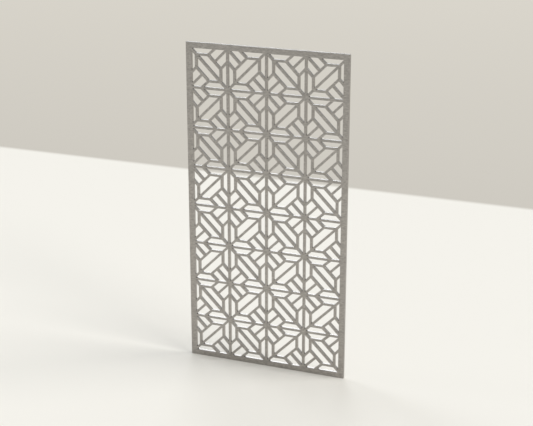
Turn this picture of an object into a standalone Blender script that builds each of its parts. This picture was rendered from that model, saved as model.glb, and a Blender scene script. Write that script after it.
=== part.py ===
"""Decorative metal screen: one flat plate with a plain border and a cut lattice of mirrored square tiles.

Units are metres and +Z is up. The screen stands upright on its bottom edge, centred on x = 0 and y = 0,
with its front facing -Y.
"""

from math import radians

import bpy
from mathutils import Vector

# Plate
PANEL_WIDTH = 0.900
PANEL_HEIGHT = 1.785
PLATE_THICKNESS = 0.015

# Plain border, from the plate's edge to the openings
SIDE_BORDER = 0.032
END_BORDER = 0.031

# Distance from the plate's edge to the centre line of the lattice's outermost bars
SIDE_MARGIN = 0.0175
END_MARGIN = 0.024

# Lattice
TILE_COLUMNS = 4
TILE_ROWS = 8
BAR_WIDTH = 0.0133

# The tile's pattern, as shares of the tile: the long diagonal bar runs from its corner (0, 0) to (1, 1)
RAIL_INSET = 0.180  # from the tile's edge to the rail beside it
RAIL_END = 0.497  # from the corner, along the edge, to where the rail ends and the flank bar starts
SPUR_FOOT = 0.695  # from the corner, along the edge, to where the spur from the rail's end meets it

# Brushed grey metal
METAL_COLOUR = (0.36, 0.34, 0.31, 1.0)
METAL_ROUGHNESS = 0.42


def clear_scene():
    for old_object in list(bpy.data.objects):
        bpy.data.objects.remove(old_object, do_unlink=True)


def make_metal():
    metal = bpy.data.materials.new("brushed_metal")
    metal.use_nodes = True
    shader = metal.node_tree.nodes["Principled BSDF"]
    shader.inputs["Base Color"].default_value = METAL_COLOUR
    shader.inputs["Metallic"].default_value = 1.0
    shader.inputs["Roughness"].default_value = METAL_ROUGHNESS
    return metal


def tile_openings():
    """Return the ten openings of one tile, each as the four (u, v) shares where its bars' centre lines meet."""
    flank_middle = ((1 + RAIL_END - RAIL_INSET) / 2, (1 - RAIL_END + RAIL_INSET) / 2)
    edge_opening = [(0, 0), (SPUR_FOOT, 0), (RAIL_END, RAIL_INSET), (RAIL_INSET, RAIL_INSET)]
    corner_opening = [(SPUR_FOOT, 0), (1, 0), flank_middle, (RAIL_END, RAIL_INSET)]
    long_opening = [
        (RAIL_INSET, RAIL_INSET),
        (RAIL_END, RAIL_INSET),
        (1 - RAIL_INSET, 1 - RAIL_END),
        (1 - RAIL_INSET, 1 - RAIL_INSET),
    ]
    upper_right = [edge_opening, corner_opening]
    upper_right += [across_short_diagonal(outline) for outline in upper_right]
    upper_right.append(long_opening)
    return upper_right + [across_long_diagonal(outline) for outline in upper_right]


def across_short_diagonal(outline):
    return [(1 - v, 1 - u) for u, v in outline]


def across_long_diagonal(outline):
    return [(v, u) for u, v in outline]


def mirrored(outline):
    return [(1 - u, v) for u, v in outline]


def place_in_panel(share, column, row):
    """Turn a tile's (u, v) share into the plate's own (x, height), with rows counted from the top."""
    tile_width = (PANEL_WIDTH - 2 * SIDE_MARGIN) / TILE_COLUMNS
    tile_height = (PANEL_HEIGHT - 2 * END_MARGIN) / TILE_ROWS
    across = SIDE_MARGIN + (column + share[0]) * tile_width
    down = END_MARGIN + (row + share[1]) * tile_height
    return Vector((across - PANEL_WIDTH / 2, PANEL_HEIGHT - down))


def side_gap(start, end, column, row):
    """Return how far an opening's side lies from its centre line: half a bar, or out to the plain border."""
    at_left = column == 0 and start[0] == end[0] == 0
    at_right = column == TILE_COLUMNS - 1 and start[0] == end[0] == 1
    at_top = row == 0 and start[1] == end[1] == 0
    at_bottom = row == TILE_ROWS - 1 and start[1] == end[1] == 1
    if at_left or at_right:
        return SIDE_BORDER - SIDE_MARGIN
    if at_top or at_bottom:
        return END_BORDER - END_MARGIN
    return BAR_WIDTH / 2


def line_crossing(first, second):
    """Return the point where two lines meet, each given as a point and a direction."""
    (first_point, first_way), (second_point, second_way) = first, second
    distance = (second_point - first_point).cross(second_way) / first_way.cross(second_way)
    return first_point + first_way * distance


def inset_outline(corners, gaps):
    """Move each side of a convex outline inwards by its own gap and return the new corners."""
    centre = sum(corners, Vector((0, 0))) / len(corners)
    sides = []
    for start, end, gap in zip(corners, corners[1:] + corners[:1], gaps):
        along = (end - start).normalized()
        inward = along.orthogonal()
        if inward.dot(centre - start) < 0:
            inward.negate()
        sides.append((start + inward * gap, along))
    return [line_crossing(sides[index - 1], sides[index]) for index in range(len(sides))]


def lattice_outlines():
    """Return the cut outline of every opening in the lattice; neighbouring tiles mirror each other."""
    outlines = []
    for row in range(TILE_ROWS):
        for column in range(TILE_COLUMNS):
            for opening in tile_openings():
                shares = mirrored(opening) if (column + row) % 2 else opening
                corners = [place_in_panel(share, column, row) for share in shares]
                ends = shares[1:] + shares[:1]
                gaps = [side_gap(start, end, column, row) for start, end in zip(shares, ends)]
                outlines.append(inset_outline(corners, gaps))
    return outlines


def plate_outline():
    half = PANEL_WIDTH / 2
    return [Vector((-half, 0)), Vector((half, 0)), Vector((half, PANEL_HEIGHT)), Vector((-half, PANEL_HEIGHT))]


def add_outline(curve, corners):
    spline = curve.splines.new("POLY")
    spline.points.add(len(corners) - 1)
    for point, corner in zip(spline.points, corners):
        point.co = (corner.x, corner.y, 0.0, 1.0)
    spline.use_cyclic_u = True


def make_screen_panel(collection):
    """Cut the plate from one flat outline with its openings, and stand it up so that it faces -Y."""
    curve = bpy.data.curves.new("screen_panel", "CURVE")
    curve.dimensions = "2D"
    curve.fill_mode = "BOTH"
    curve.extrude = PLATE_THICKNESS / 2
    add_outline(curve, plate_outline())
    for outline in lattice_outlines():
        add_outline(curve, outline)
    curve.materials.append(make_metal())
    panel = bpy.data.objects.new("screen_panel", curve)
    panel.rotation_euler.x = radians(90)
    collection.objects.link(panel)
    return panel


def main():
    clear_scene()
    collection = bpy.data.collections.new("decorative_metal_screen")
    bpy.context.scene.collection.children.link(collection)
    make_screen_panel(collection)


main()
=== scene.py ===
import math

import bpy
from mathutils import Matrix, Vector
from mathutils.geometry import delaunay_2d_cdt


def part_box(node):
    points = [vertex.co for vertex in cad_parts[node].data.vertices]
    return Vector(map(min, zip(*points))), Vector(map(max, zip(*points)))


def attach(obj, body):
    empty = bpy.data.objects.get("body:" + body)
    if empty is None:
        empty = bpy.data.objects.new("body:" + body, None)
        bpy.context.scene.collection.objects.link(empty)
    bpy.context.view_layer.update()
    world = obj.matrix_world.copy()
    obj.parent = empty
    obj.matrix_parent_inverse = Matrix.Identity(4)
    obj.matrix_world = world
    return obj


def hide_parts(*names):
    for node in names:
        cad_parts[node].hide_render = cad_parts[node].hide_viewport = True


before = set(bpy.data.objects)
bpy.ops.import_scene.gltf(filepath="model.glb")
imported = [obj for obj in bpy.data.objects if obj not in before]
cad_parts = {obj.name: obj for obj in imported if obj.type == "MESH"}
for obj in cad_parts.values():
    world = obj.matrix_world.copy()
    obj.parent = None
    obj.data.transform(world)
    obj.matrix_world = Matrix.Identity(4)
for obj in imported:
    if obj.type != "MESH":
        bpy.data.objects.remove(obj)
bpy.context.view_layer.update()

plateLow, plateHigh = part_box("screen_panel")
print("frame loaded, plate box", tuple(plateLow), tuple(plateHigh))


# screen plate: a border and a lattice of mirrored tiles, cut from one sheet
screenPlate = {
    "columns": 4,
    "rows": 8,
    "sideBorder": 0.032,      # plate edge to the first opening, left and right
    "endBorder": 0.031,       # the same at top and bottom
    "sideMargin": 0.0175,     # plate edge to the outermost bar lines, left and right
    "endMargin": 0.024,       # the same at top and bottom
    "barWidth": 0.0133,
    "railInset": 0.180,       # these three are shares of a tile
    "railEnd": 0.497,
    "spurFoot": 0.695,
    "cutterRadius": 0.0004,   # inner corners of the openings
    "outerRadius": 0.0012,    # corners of the plate
    "edgeBreak": 0.0005,      # rounding of every edge, front and back
    "edgeSteps": 2,
    "cornerSteps": 3,
    "faceLimit": 0.5,         # how far a surface faces front or back, from which it is brushed as a face
}


def tileOpenings(plate):
    inset = plate["railInset"]
    rail = plate["railEnd"]
    foot = plate["spurFoot"]
    flankMiddle = ((1 + rail - inset) / 2, (1 - rail + inset) / 2)
    edgeOpening = [(0, 0), (foot, 0), (rail, inset), (inset, inset)]
    cornerOpening = [(foot, 0), (1, 0), flankMiddle, (rail, inset)]
    longOpening = [(inset, inset), (rail, inset), (1 - inset, 1 - rail), (1 - inset, 1 - inset)]
    half = [edgeOpening, cornerOpening]
    half += [[(1 - v, 1 - u) for u, v in shape] for shape in half]   # across the short diagonal
    half.append(longOpening)
    return half + [[(v, u) for u, v in shape] for shape in half]     # across the long diagonal


def sideGap(plate, start, end, column, row):
    # half a bar, or out to the plain border along the lattice's outer lines
    if column == 0 and start[0] == end[0] == 0:
        return plate["sideBorder"] - plate["sideMargin"]
    if column == plate["columns"] - 1 and start[0] == end[0] == 1:
        return plate["sideBorder"] - plate["sideMargin"]
    if row == 0 and start[1] == end[1] == 0:
        return plate["endBorder"] - plate["endMargin"]
    if row == plate["rows"] - 1 and start[1] == end[1] == 1:
        return plate["endBorder"] - plate["endMargin"]
    return plate["barWidth"] / 2


def insetCorners(corners, gaps):
    # each side of a convex shape moved inwards by its own gap
    centre = sum(corners, Vector((0, 0))) / len(corners)
    sides = []
    for start, end, gap in zip(corners, corners[1:] + corners[:1], gaps):
        along = (end - start).normalized()
        inward = along.orthogonal()
        if inward.dot(centre - start) < 0:
            inward.negate()
        sides.append((start + inward * gap, along))
    moved = []
    for index in range(len(sides)):
        point, way = sides[index - 1]
        otherPoint, otherWay = sides[index]
        reach = (otherPoint - point).cross(otherWay) / way.cross(otherWay)
        moved.append(point + way * reach)
    return moved


def cutCorners(plate, shares, column, row):
    # corners of one opening in the plate's own (x, z)
    tileWidth = (plateHigh.x - plateLow.x - 2 * plate["sideMargin"]) / plate["columns"]
    tileHeight = (plateHigh.z - plateLow.z - 2 * plate["endMargin"]) / plate["rows"]
    left = plateLow.x + plate["sideMargin"] + column * tileWidth
    top = plateHigh.z - plate["endMargin"] - row * tileHeight
    corners = [Vector((left + u * tileWidth, top - v * tileHeight)) for u, v in shares]
    gaps = [sideGap(plate, start, end, column, row) for start, end in zip(shares, shares[1:] + shares[:1])]
    return insetCorners(corners, gaps)


def counterClockwise(corners):
    area = sum(a.cross(b) for a, b in zip(corners, corners[1:] + corners[:1]))
    return corners if area > 0 else corners[::-1]


def roundedRing(corners, radius, grow, steps):
    # a convex shape with round corners; grow moves the whole line outwards
    corners = counterClockwise(corners)
    centres = insetCorners(corners, [radius] * len(corners))
    ring = []
    for index, centre in enumerate(centres):
        before = (corners[index] - corners[index - 1]).normalized()
        after = (corners[(index + 1) % len(corners)] - corners[index]).normalized()
        startAngle = math.atan2(-before.x, before.y)
        turn = before.angle(after)
        for step in range(steps + 1):
            angle = startAngle + turn * step / steps
            ring.append(centre + Vector((math.cos(angle), math.sin(angle))) * (radius + grow))
    return ring


def edgeLevels(plate):
    # (distance into the metal, y) from the front face round to the back face
    bevel = plate["edgeBreak"]
    levels = []
    for step in range(plate["edgeSteps"] + 1):
        angle = math.pi / 2 * step / plate["edgeSteps"]
        levels.append((bevel * (1 - math.sin(angle)), plateLow.y + bevel * (1 - math.cos(angle))))
    return levels + [(into, plateLow.y + plateHigh.y - y) for into, y in reversed(levels)]


def buildPlate(plate):
    outline = [Vector((plateLow.x, plateLow.z)), Vector((plateHigh.x, plateLow.z)),
               Vector((plateHigh.x, plateHigh.z)), Vector((plateLow.x, plateHigh.z))]
    shapes = [(outline, plate["outerRadius"], -1)]   # -1: the metal is inside this line, 1: outside
    for row in range(plate["rows"]):
        for column in range(plate["columns"]):
            for shares in tileOpenings(plate):
                if (column + row) % 2:
                    shares = [(1 - u, v) for u, v in shares]
                shapes.append((cutCorners(plate, shares, column, row), plate["cutterRadius"], 1))
    levels = edgeLevels(plate)
    points = []
    faces = []
    frontRings = []
    backRings = []
    for corners, radius, side in shapes:
        rings = []
        for into, y in levels:
            ring = roundedRing(corners, radius, side * into, plate["cornerSteps"])
            rings.append(list(range(len(points), len(points) + len(ring))))
            points += [(p.x, y, p.y) for p in ring]
        for upper, lower in zip(rings, rings[1:]):
            for index in range(len(upper)):
                quad = (upper[index - 1], upper[index], lower[index], lower[index - 1])
                faces.append(quad if side > 0 else quad[::-1])
        frontRings.append(rings[0])
        backRings.append(rings[-1])
    for triangle in flatFace(points, frontRings):
        faces.append([frontRings[ring][step] for ring, step in triangle])
        faces.append([backRings[ring][step] for ring, step in reversed(triangle)])
    mesh = bpy.data.meshes.new("screen_plate")
    mesh.from_pydata(points, [], faces)
    mesh.update()
    addPlateUv(mesh, plate["faceLimit"])
    piece = bpy.data.objects.new("screen_plate", mesh)
    bpy.context.scene.collection.objects.link(piece)
    return piece


def flatFace(points, rings):
    # triangles of the metal between the rings, each corner as (ring, step), seen from the front
    places = [(ring, step) for ring in range(len(rings)) for step in range(len(rings[ring]))]
    flat = [Vector((points[rings[ring][step]][0], points[rings[ring][step]][2])) for ring, step in places]
    number = {place: index for index, place in enumerate(places)}
    edges = [(number[(ring, step - 1 if step else len(rings[ring]) - 1)], number[(ring, step)])
             for ring, step in places]
    insideLines = 1       # keep no triangle outside the plate's own line
    weldDistance = 1e-7
    corners, _, triangles, origins, _, _ = delaunay_2d_cdt(flat, edges, [], insideLines, weldDistance)
    kept = []
    for triangle in triangles:
        first, second, third = (places[origins[index][0]] for index in triangle)
        if first[0] == second[0] == third[0] > 0:
            continue   # it lies in an opening
        a, b, c = (corners[index] for index in triangle)
        kept.append([first, second, third] if (b - a).cross(c - a) > 0 else [first, third, second])
    return kept


def addPlateUv(mesh, faceLimit):
    # faces: brushing runs along u, across the width; cut walls: u runs along the cut
    layer = mesh.uv_layers.new(name="brushing")
    for face in mesh.polygons:
        isWall = abs(face.normal.y) < faceLimit
        along = Vector((face.normal.z, 0, -face.normal.x)) if isWall else Vector((1, 0, 0))
        for loop in face.loop_indices:
            point = mesh.vertices[mesh.loops[loop].vertex_index].co
            layer.data[loop].uv = (point.dot(along), point.y if isWall else point.z)


# brushed metal: fine lines across the width on the faces, smoother cut walls with painted shade in their
# tight corners, rubbed edges
brushedMetal = {
    "light": (0.520, 0.494, 0.466),
    "dark": (0.283, 0.269, 0.254),
    "contrast": (0.375, 0.625),            # pattern values that give the dark and the light tone
    "wallColour": (0.411, 0.394, 0.372),
    "rubbedColour": (0.580, 0.560, 0.535),
    "cornerShadeColour": (0.070, 0.067, 0.064),   # painted shade in the tight corners of the cut walls
    "cornerShadeReach": 0.008,                    # how close other metal has to be to make a corner tight enough for painted shade
    "cornerShadeRange": (0.28, 0.62),             # openness: full painted shade below the first, none above the second
    "faceRoughness": (0.40, 0.52),
    "wallRoughness": 0.36,
    "rubbedRoughness": 0.28,
    "anisotropy": 0.35,
    "bumpStrength": 0.10,
    "bumpHeight": 0.0004,
    "seed": 4.0,
    "seedShift": (1.0, 1.7, 0.6),          # how far the seed moves a pattern along x, y and z
    # patterns: noise cells per metre along x, y and z, amount of fine detail, and steps from the seed;
    # few cells along x and many along z draw the marks out sideways
    "hair": ((9, 9, 2600), 3.0, 0),        # finest long lines
    "grain": ((75, 75, 520), 0.5, 3),      # short marks
    "bands": ((50, 50, 170), 2.0, 5),      # broader short streaks
    "cloud": ((12, 12, 26), 2.0, 7),       # soft uneven patches
    "rub": ((38, 38, 38), 4.0, 9),         # worn and unworn stretches of an edge, alike every way
    "detailStrength": 0.6,                 # how strong the fine detail of every pattern is
    "grainShare": 0.6,                     # each share is mixed over what comes before it
    "bandsShare": 0.2,
    "cloudShare": 0.06,
    "rubRange": (0.48, 0.58),              # pattern values between which an edge turns rubbed
    "wallLimit": 0.3,                      # how far a surface faces front or back: below this a cut wall,
    "edgeLimit": 0.98,                     # and from there up to this a rounded edge
}


def addNode(tree, kind, place, **inputs):
    node = tree.nodes.new(kind)
    node.location = place
    for name, value in inputs.items():
        node.inputs[name].default_value = value
    return node


def feed(tree, value, socket):
    # a link from another socket, or a fixed number or colour
    if isinstance(value, bpy.types.NodeSocket):
        tree.links.new(value, socket)
    elif isinstance(value, tuple):
        socket.default_value = (*value, 1)
    else:
        socket.default_value = value


def mixed(tree, kind, first, second, factor, place):
    # kind is FLOAT or RGBA
    mix = addNode(tree, "ShaderNodeMix", place)
    mix.data_type = kind
    for name, value in (("A", first), ("B", second), ("Factor", factor)):
        feed(tree, value, mix.inputs[name])
    return mix.outputs["Result"]


def calculated(tree, operation, first, second, place):
    node = addNode(tree, "ShaderNodeMath", place)
    node.operation = operation
    feed(tree, first, node.inputs[0])
    feed(tree, second, node.inputs[1])
    return node.outputs["Value"]


def ranged(tree, value, span, place, blend="LINEAR"):
    # the low end of the span becomes 0 and its high end 1
    node = addNode(tree, "ShaderNodeMapRange", place)
    node.interpolation_type = blend
    node.inputs["From Min"].default_value = span[0]
    node.inputs["From Max"].default_value = span[1]
    tree.links.new(value, node.inputs["Value"])
    return node.outputs["Result"]


def pattern(tree, spot, finish, name, place):
    cells, detail, steps = finish[name]
    shift = [(finish["seed"] + steps) * share for share in finish["seedShift"]]
    mapping = addNode(tree, "ShaderNodeMapping", place, Scale=cells, Location=shift)
    noise = addNode(tree, "ShaderNodeTexNoise", (place[0] + 200, place[1]), Scale=1.0, Detail=detail)
    noise.inputs["Roughness"].default_value = finish["detailStrength"]
    tree.links.new(spot, mapping.inputs["Vector"])
    tree.links.new(mapping.outputs["Vector"], noise.inputs["Vector"])
    return noise.outputs["Fac"]


def surfaceKinds(tree, finish):
    # 1 on the cut walls, and 1 on the rounded edges, from the way the surface faces
    geometry = addNode(tree, "ShaderNodeNewGeometry", (-1500, -700))
    axes = addNode(tree, "ShaderNodeSeparateXYZ", (-1300, -700))
    tree.links.new(geometry.outputs["True Normal"], axes.inputs["Vector"])
    facing = calculated(tree, "ABSOLUTE", axes.outputs["Y"], 0.0, (-1100, -700))
    onWall = calculated(tree, "LESS_THAN", facing, finish["wallLimit"], (-900, -600))
    offFace = calculated(tree, "LESS_THAN", facing, finish["edgeLimit"], (-900, -800))
    return onWall, calculated(tree, "SUBTRACT", offFace, onWall, (-700, -800))


def makeBrushedMetal(finish):
    metal = bpy.data.materials.new("brushedMetal")
    metal.use_nodes = True
    tree = metal.node_tree
    shader = tree.nodes["Principled BSDF"]
    shader.inputs["Metallic"].default_value = 1.0
    shader.inputs["Anisotropic"].default_value = finish["anisotropy"]
    spot = addNode(tree, "ShaderNodeTexCoord", (-1750, 0)).outputs["Object"]
    hair = pattern(tree, spot, finish, "hair", (-1500, 600))
    grain = pattern(tree, spot, finish, "grain", (-1500, 300))
    bands = pattern(tree, spot, finish, "bands", (-1500, 0))
    cloud = pattern(tree, spot, finish, "cloud", (-1500, -250))
    rub = pattern(tree, spot, finish, "rub", (-1500, -450))
    lines = mixed(tree, "FLOAT", hair, grain, finish["grainShare"], (-1050, 450))
    marks = mixed(tree, "FLOAT", lines, bands, finish["bandsShare"], (-850, 300))
    tone = mixed(tree, "FLOAT", marks, cloud, finish["cloudShare"], (-650, 150))
    onWall, onEdge = surfaceKinds(tree, finish)
    rubbed = ranged(tree, rub, finish["rubRange"], (-1050, -450))
    worn = calculated(tree, "MULTIPLY", rubbed, onEdge, (-500, -500))
    # painted shade: the cut walls are darkened in their base colour where ambient occlusion finds other
    # metal close round them
    around = addNode(tree, "ShaderNodeAmbientOcclusion", (-700, -1000), Distance=finish["cornerShadeReach"])
    cornerOpenness = ranged(tree, around.outputs["AO"], finish["cornerShadeRange"], (-500, -1000))
    tight = calculated(tree, "SUBTRACT", 1.0, cornerOpenness, (-300, -1000))
    paintedCornerShade = calculated(tree, "MULTIPLY", onWall, tight, (-100, -900))

    toneShare = ranged(tree, tone, finish["contrast"], (-450, 250))
    colour = mixed(tree, "RGBA", finish["dark"], finish["light"], toneShare, (-250, 300))
    colour = mixed(tree, "RGBA", colour, finish["wallColour"], onWall, (-50, 250))
    # painted shade in the tight corners of the cut walls
    colour = mixed(tree, "RGBA", colour, finish["cornerShadeColour"], paintedCornerShade, (50, 400))
    colour = mixed(tree, "RGBA", colour, finish["rubbedColour"], worn, (150, 200))
    tree.links.new(colour, shader.inputs["Base Color"])

    smoothest, roughest = finish["faceRoughness"]
    rough = mixed(tree, "FLOAT", smoothest, roughest, hair, (-250, -50))
    rough = mixed(tree, "FLOAT", rough, finish["wallRoughness"], onWall, (-50, -100))
    rough = mixed(tree, "FLOAT", rough, finish["rubbedRoughness"], worn, (150, -150))
    tree.links.new(rough, shader.inputs["Roughness"])

    bump = addNode(tree, "ShaderNodeBump", (150, -400), Strength=finish["bumpStrength"])
    bump.inputs["Distance"].default_value = finish["bumpHeight"]
    tree.links.new(lines, bump.inputs["Height"])
    tree.links.new(bump.outputs["Normal"], shader.inputs["Normal"])
    tangent = addNode(tree, "ShaderNodeTangent", (150, -600))
    tangent.direction_type = "UV_MAP"
    tangent.uv_map = "brushing"
    tree.links.new(tangent.outputs["Tangent"], shader.inputs["Tangent"])
    shader.location = (450, 100)
    tree.nodes["Material Output"].location = (750, 100)
    return metal


plate = buildPlate(screenPlate)
plate.data.materials.append(makeBrushedMetal(brushedMetal))
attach(plate, "root")
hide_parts("screen_panel")
print("screen plate built,", len(plate.data.polygons), "faces")


# stage: a pale floor that turns into a greyer backdrop beyond its far line, all in one plane
stage = {
    "floorColour": (0.865, 0.844, 0.785),
    "farLine": 3.212,         # where the backdrop starts, behind the plate
    "lineTurn": -0.2,         # degrees that the line is turned from the plate
    "lineBlur": 0.08,         # how softly the floor turns into it
    "backdropLow": (0.617, 0.590, 0.533),
    "backdropHigh": (0.700, 0.670, 0.603),
    "backdropRise": 9.5,      # distance over which it brightens
    "backdropEase": 0.7,      # below 1 it brightens faster close to the line
    "reach": 26.0,
    "worldColour": (0.965, 0.99, 1.01),
    "worldStrength": 0.30,
}


def stagePaint(stage):
    paint = bpy.data.materials.new("stagePaint")
    paint.use_nodes = True
    tree = paint.node_tree
    tree.nodes.remove(tree.nodes["Principled BSDF"])
    spot = addNode(tree, "ShaderNodeTexCoord", (-1100, 0)).outputs["Object"]
    axes = addNode(tree, "ShaderNodeSeparateXYZ", (-900, 0))
    tree.links.new(spot, axes.inputs["Vector"])

    farLine = stage["farLine"]
    blur = (farLine - stage["lineBlur"] / 2, farLine + stage["lineBlur"] / 2)
    beyond = ranged(tree, axes.outputs["Y"], blur, (-700, 200), "SMOOTHSTEP")
    rise = ranged(tree, axes.outputs["Y"], (farLine, farLine + stage["backdropRise"]), (-700, -150))
    ease = calculated(tree, "POWER", rise, stage["backdropEase"], (-500, -150))
    colour = mixed(tree, "RGBA", stage["backdropLow"], stage["backdropHigh"], ease, (-300, -150))

    matte = addNode(tree, "ShaderNodeBsdfDiffuse", (-100, 100), Color=(*stage["floorColour"], 1))
    glow = addNode(tree, "ShaderNodeEmission", (-100, -150))
    tree.links.new(colour, glow.inputs["Color"])
    blend = addNode(tree, "ShaderNodeMixShader", (150, 100))
    tree.links.new(beyond, blend.inputs["Fac"])
    tree.links.new(matte.outputs["BSDF"], blend.inputs[1])
    tree.links.new(glow.outputs["Emission"], blend.inputs[2])
    tree.links.new(blend.outputs["Shader"], tree.nodes["Material Output"].inputs["Surface"])
    return paint


def addStage(stage):
    reach = stage["reach"]
    mesh = bpy.data.meshes.new("stageFloor")
    mesh.from_pydata([(-reach, -reach, 0), (reach, -reach, 0), (reach, reach, 0), (-reach, reach, 0)],
                     [], [(0, 1, 2, 3)])
    mesh.materials.append(stagePaint(stage))
    floor = bpy.data.objects.new("stageFloor", mesh)
    floor.rotation_euler.z = math.radians(stage["lineTurn"])
    bpy.context.scene.collection.objects.link(floor)
    world = bpy.data.worlds.new("studio")
    world.use_nodes = True
    world.node_tree.nodes["Background"].inputs["Color"].default_value = (*stage["worldColour"], 1)
    world.node_tree.nodes["Background"].inputs["Strength"].default_value = stage["worldStrength"]
    bpy.context.scene.world = world


addStage(stage)
bpy.context.scene.view_settings.view_transform = "Standard"
print("stage set")


# soft studio lights: degrees round to the right from the front, degrees above the floor, strength, colour
warmWhite = (1.02, 1.0, 0.973)
coolWhite = (0.95, 0.985, 1.04)
studioLights = {
    "rightKey": (90, 48, 1.27, warmWhite),
    "rightFront": (68, 28, 0.63, warmWhite),
    "rightBack": (112, 28, 0.74, warmWhite),
    "back": (159, 18, 0.064, warmWhite),
    "leftBack": (200, 28, 0.393, coolWhite),
    "leftBackHigh": (210, 48, 0.29, coolWhite),
    "leftSide": (248, 28, 0.52, coolWhite),
    "leftFill": (270, 48, 0.22, coolWhite),
}
lightSpread = 20              # degrees across each light as the plate sees it


def addLight(name, around, above, strength, colour):
    lamp = bpy.data.lights.new(name, "SUN")
    lamp.energy = strength
    lamp.color = colour
    lamp.angle = math.radians(lightSpread)
    light = bpy.data.objects.new(name, lamp)
    turn = math.radians(around)
    rise = math.radians(above)
    towards = Vector((math.sin(turn) * math.cos(rise), -math.cos(turn) * math.cos(rise), math.sin(rise)))
    light.rotation_euler = towards.to_track_quat("Z", "Y").to_euler()
    bpy.context.scene.collection.objects.link(light)


for lightName, (around, above, strength, colour) in studioLights.items():
    addLight(lightName, around, above, strength, colour)
print("lights set")


# camera at the photograph's viewing angle
photoCamera = {
    "at": (2.3662, -6.0992, 3.1461),
    "turn": 21.207,           # degrees, to the left of straight ahead
    "tiltDown": 19.01,
    "lens": 87.75,            # millimetres, and so is the sensor's width
    "sensor": 36.0,
}


def addCamera(setup):
    camera = bpy.data.objects.new("photoCamera", bpy.data.cameras.new("photoCamera"))
    camera.data.lens = setup["lens"]
    camera.data.sensor_width = setup["sensor"]
    camera.location = setup["at"]
    camera.rotation_euler = (math.radians(90 - setup["tiltDown"]), 0, math.radians(setup["turn"]))
    bpy.context.scene.collection.objects.link(camera)
    bpy.context.scene.camera = camera


addCamera(photoCamera)
print("camera set")
